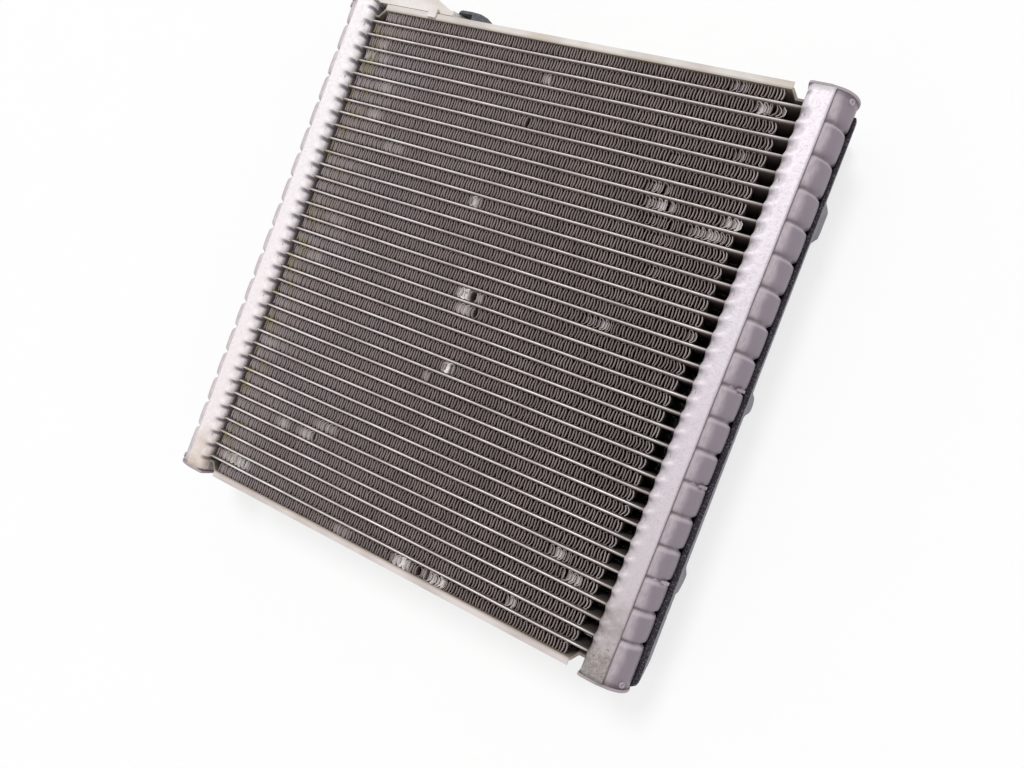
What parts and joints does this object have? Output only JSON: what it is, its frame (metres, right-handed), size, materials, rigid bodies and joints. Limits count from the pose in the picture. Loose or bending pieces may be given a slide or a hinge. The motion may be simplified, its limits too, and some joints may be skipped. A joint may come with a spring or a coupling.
{
  "type": "evaporator core",
  "caption": "Brazed air-conditioning evaporator core: flat tubes and folded fins between domed tanks, with side plates, foam strip and a ported connector block.",
  "frame": {"origin": "centre of the part's footprint, on the plane of the rear faces of the tanks, on which it lies", "axes": "+X along the tubes towards the tank with the foam strip, +Y along the tanks towards the connector block, +Z through the core towards its front face"},
  "size_m": [0.2456, 0.2648, 0.043],
  "materials": {
    "tube_stock": "extruded and brazed, pale satin",
    "fin_stock": "thin folded strip, brazed, dull grey with bent spots",
    "header_sheet": "pressed sheet, pale and slightly rough from flux",
    "tank_sheet": "pressed sheet, smooth satin grey",
    "cap_sheet": "pressed sheet, satin grey",
    "side_plate_sheet": "folded sheet, warm off-white flux haze",
    "block_metal": "machined block, fine satin",
    "black_foam": "open-cell foam, rough cut edge and smoother skin"
  },
  "bodies": {
    "root": {"bottom_side_plate": "side_plate_sheet", "connector_block": "block_metal", "fin_01": "fin_stock", "fin_02": "fin_stock", "fin_03": "fin_stock", "fin_04": "fin_stock", "fin_05": "fin_stock", "fin_06": "fin_stock", "fin_07": "fin_stock", "fin_08": "fin_stock", "fin_09": "fin_stock", "fin_10": "fin_stock", "fin_11": "fin_stock", "fin_12": "fin_stock", "fin_13": "fin_stock", "fin_14": "fin_stock", "fin_15": "fin_stock", "fin_16": "fin_stock", "fin_17": "fin_stock", "fin_18": "fin_stock", "fin_19": "fin_stock", "fin_20": "fin_stock", "fin_21": "fin_stock", "fin_22": "fin_stock", "fin_23": "fin_stock", "fin_24": "fin_stock", "fin_25": "fin_stock", "fin_26": "fin_stock", "fin_27": "fin_stock", "fin_28": "fin_stock", "fin_29": "fin_stock", "fin_30": "fin_stock", "fin_31": "fin_stock", "fin_32": "fin_stock", "fin_33": "fin_stock", "fin_34": "fin_stock", "fin_35": "fin_stock", "fin_36": "fin_stock", "front_tubes": "tube_stock", "left_bottom_end_cap": "cap_sheet", "left_header_plate": "header_sheet", "left_tank_cover": "tank_sheet", "left_tank_separator": "cap_sheet", "left_top_end_cap": "cap_sheet", "lower_baffle": "cap_sheet", "middle_baffle": "cap_sheet", "rear_tubes": "tube_stock", "right_bottom_end_cap": "cap_sheet", "right_header_plate": "header_sheet", "right_tank_cover": "tank_sheet", "right_tank_foam": "black_foam", "right_top_end_cap": "cap_sheet", "side_passage_base": "side_plate_sheet", "side_passage_cover": "side_plate_sheet", "side_plate_foam": "black_foam", "top_side_plate": "side_plate_sheet", "upper_baffle": "cap_sheet"}
  },
  "joints": []
}
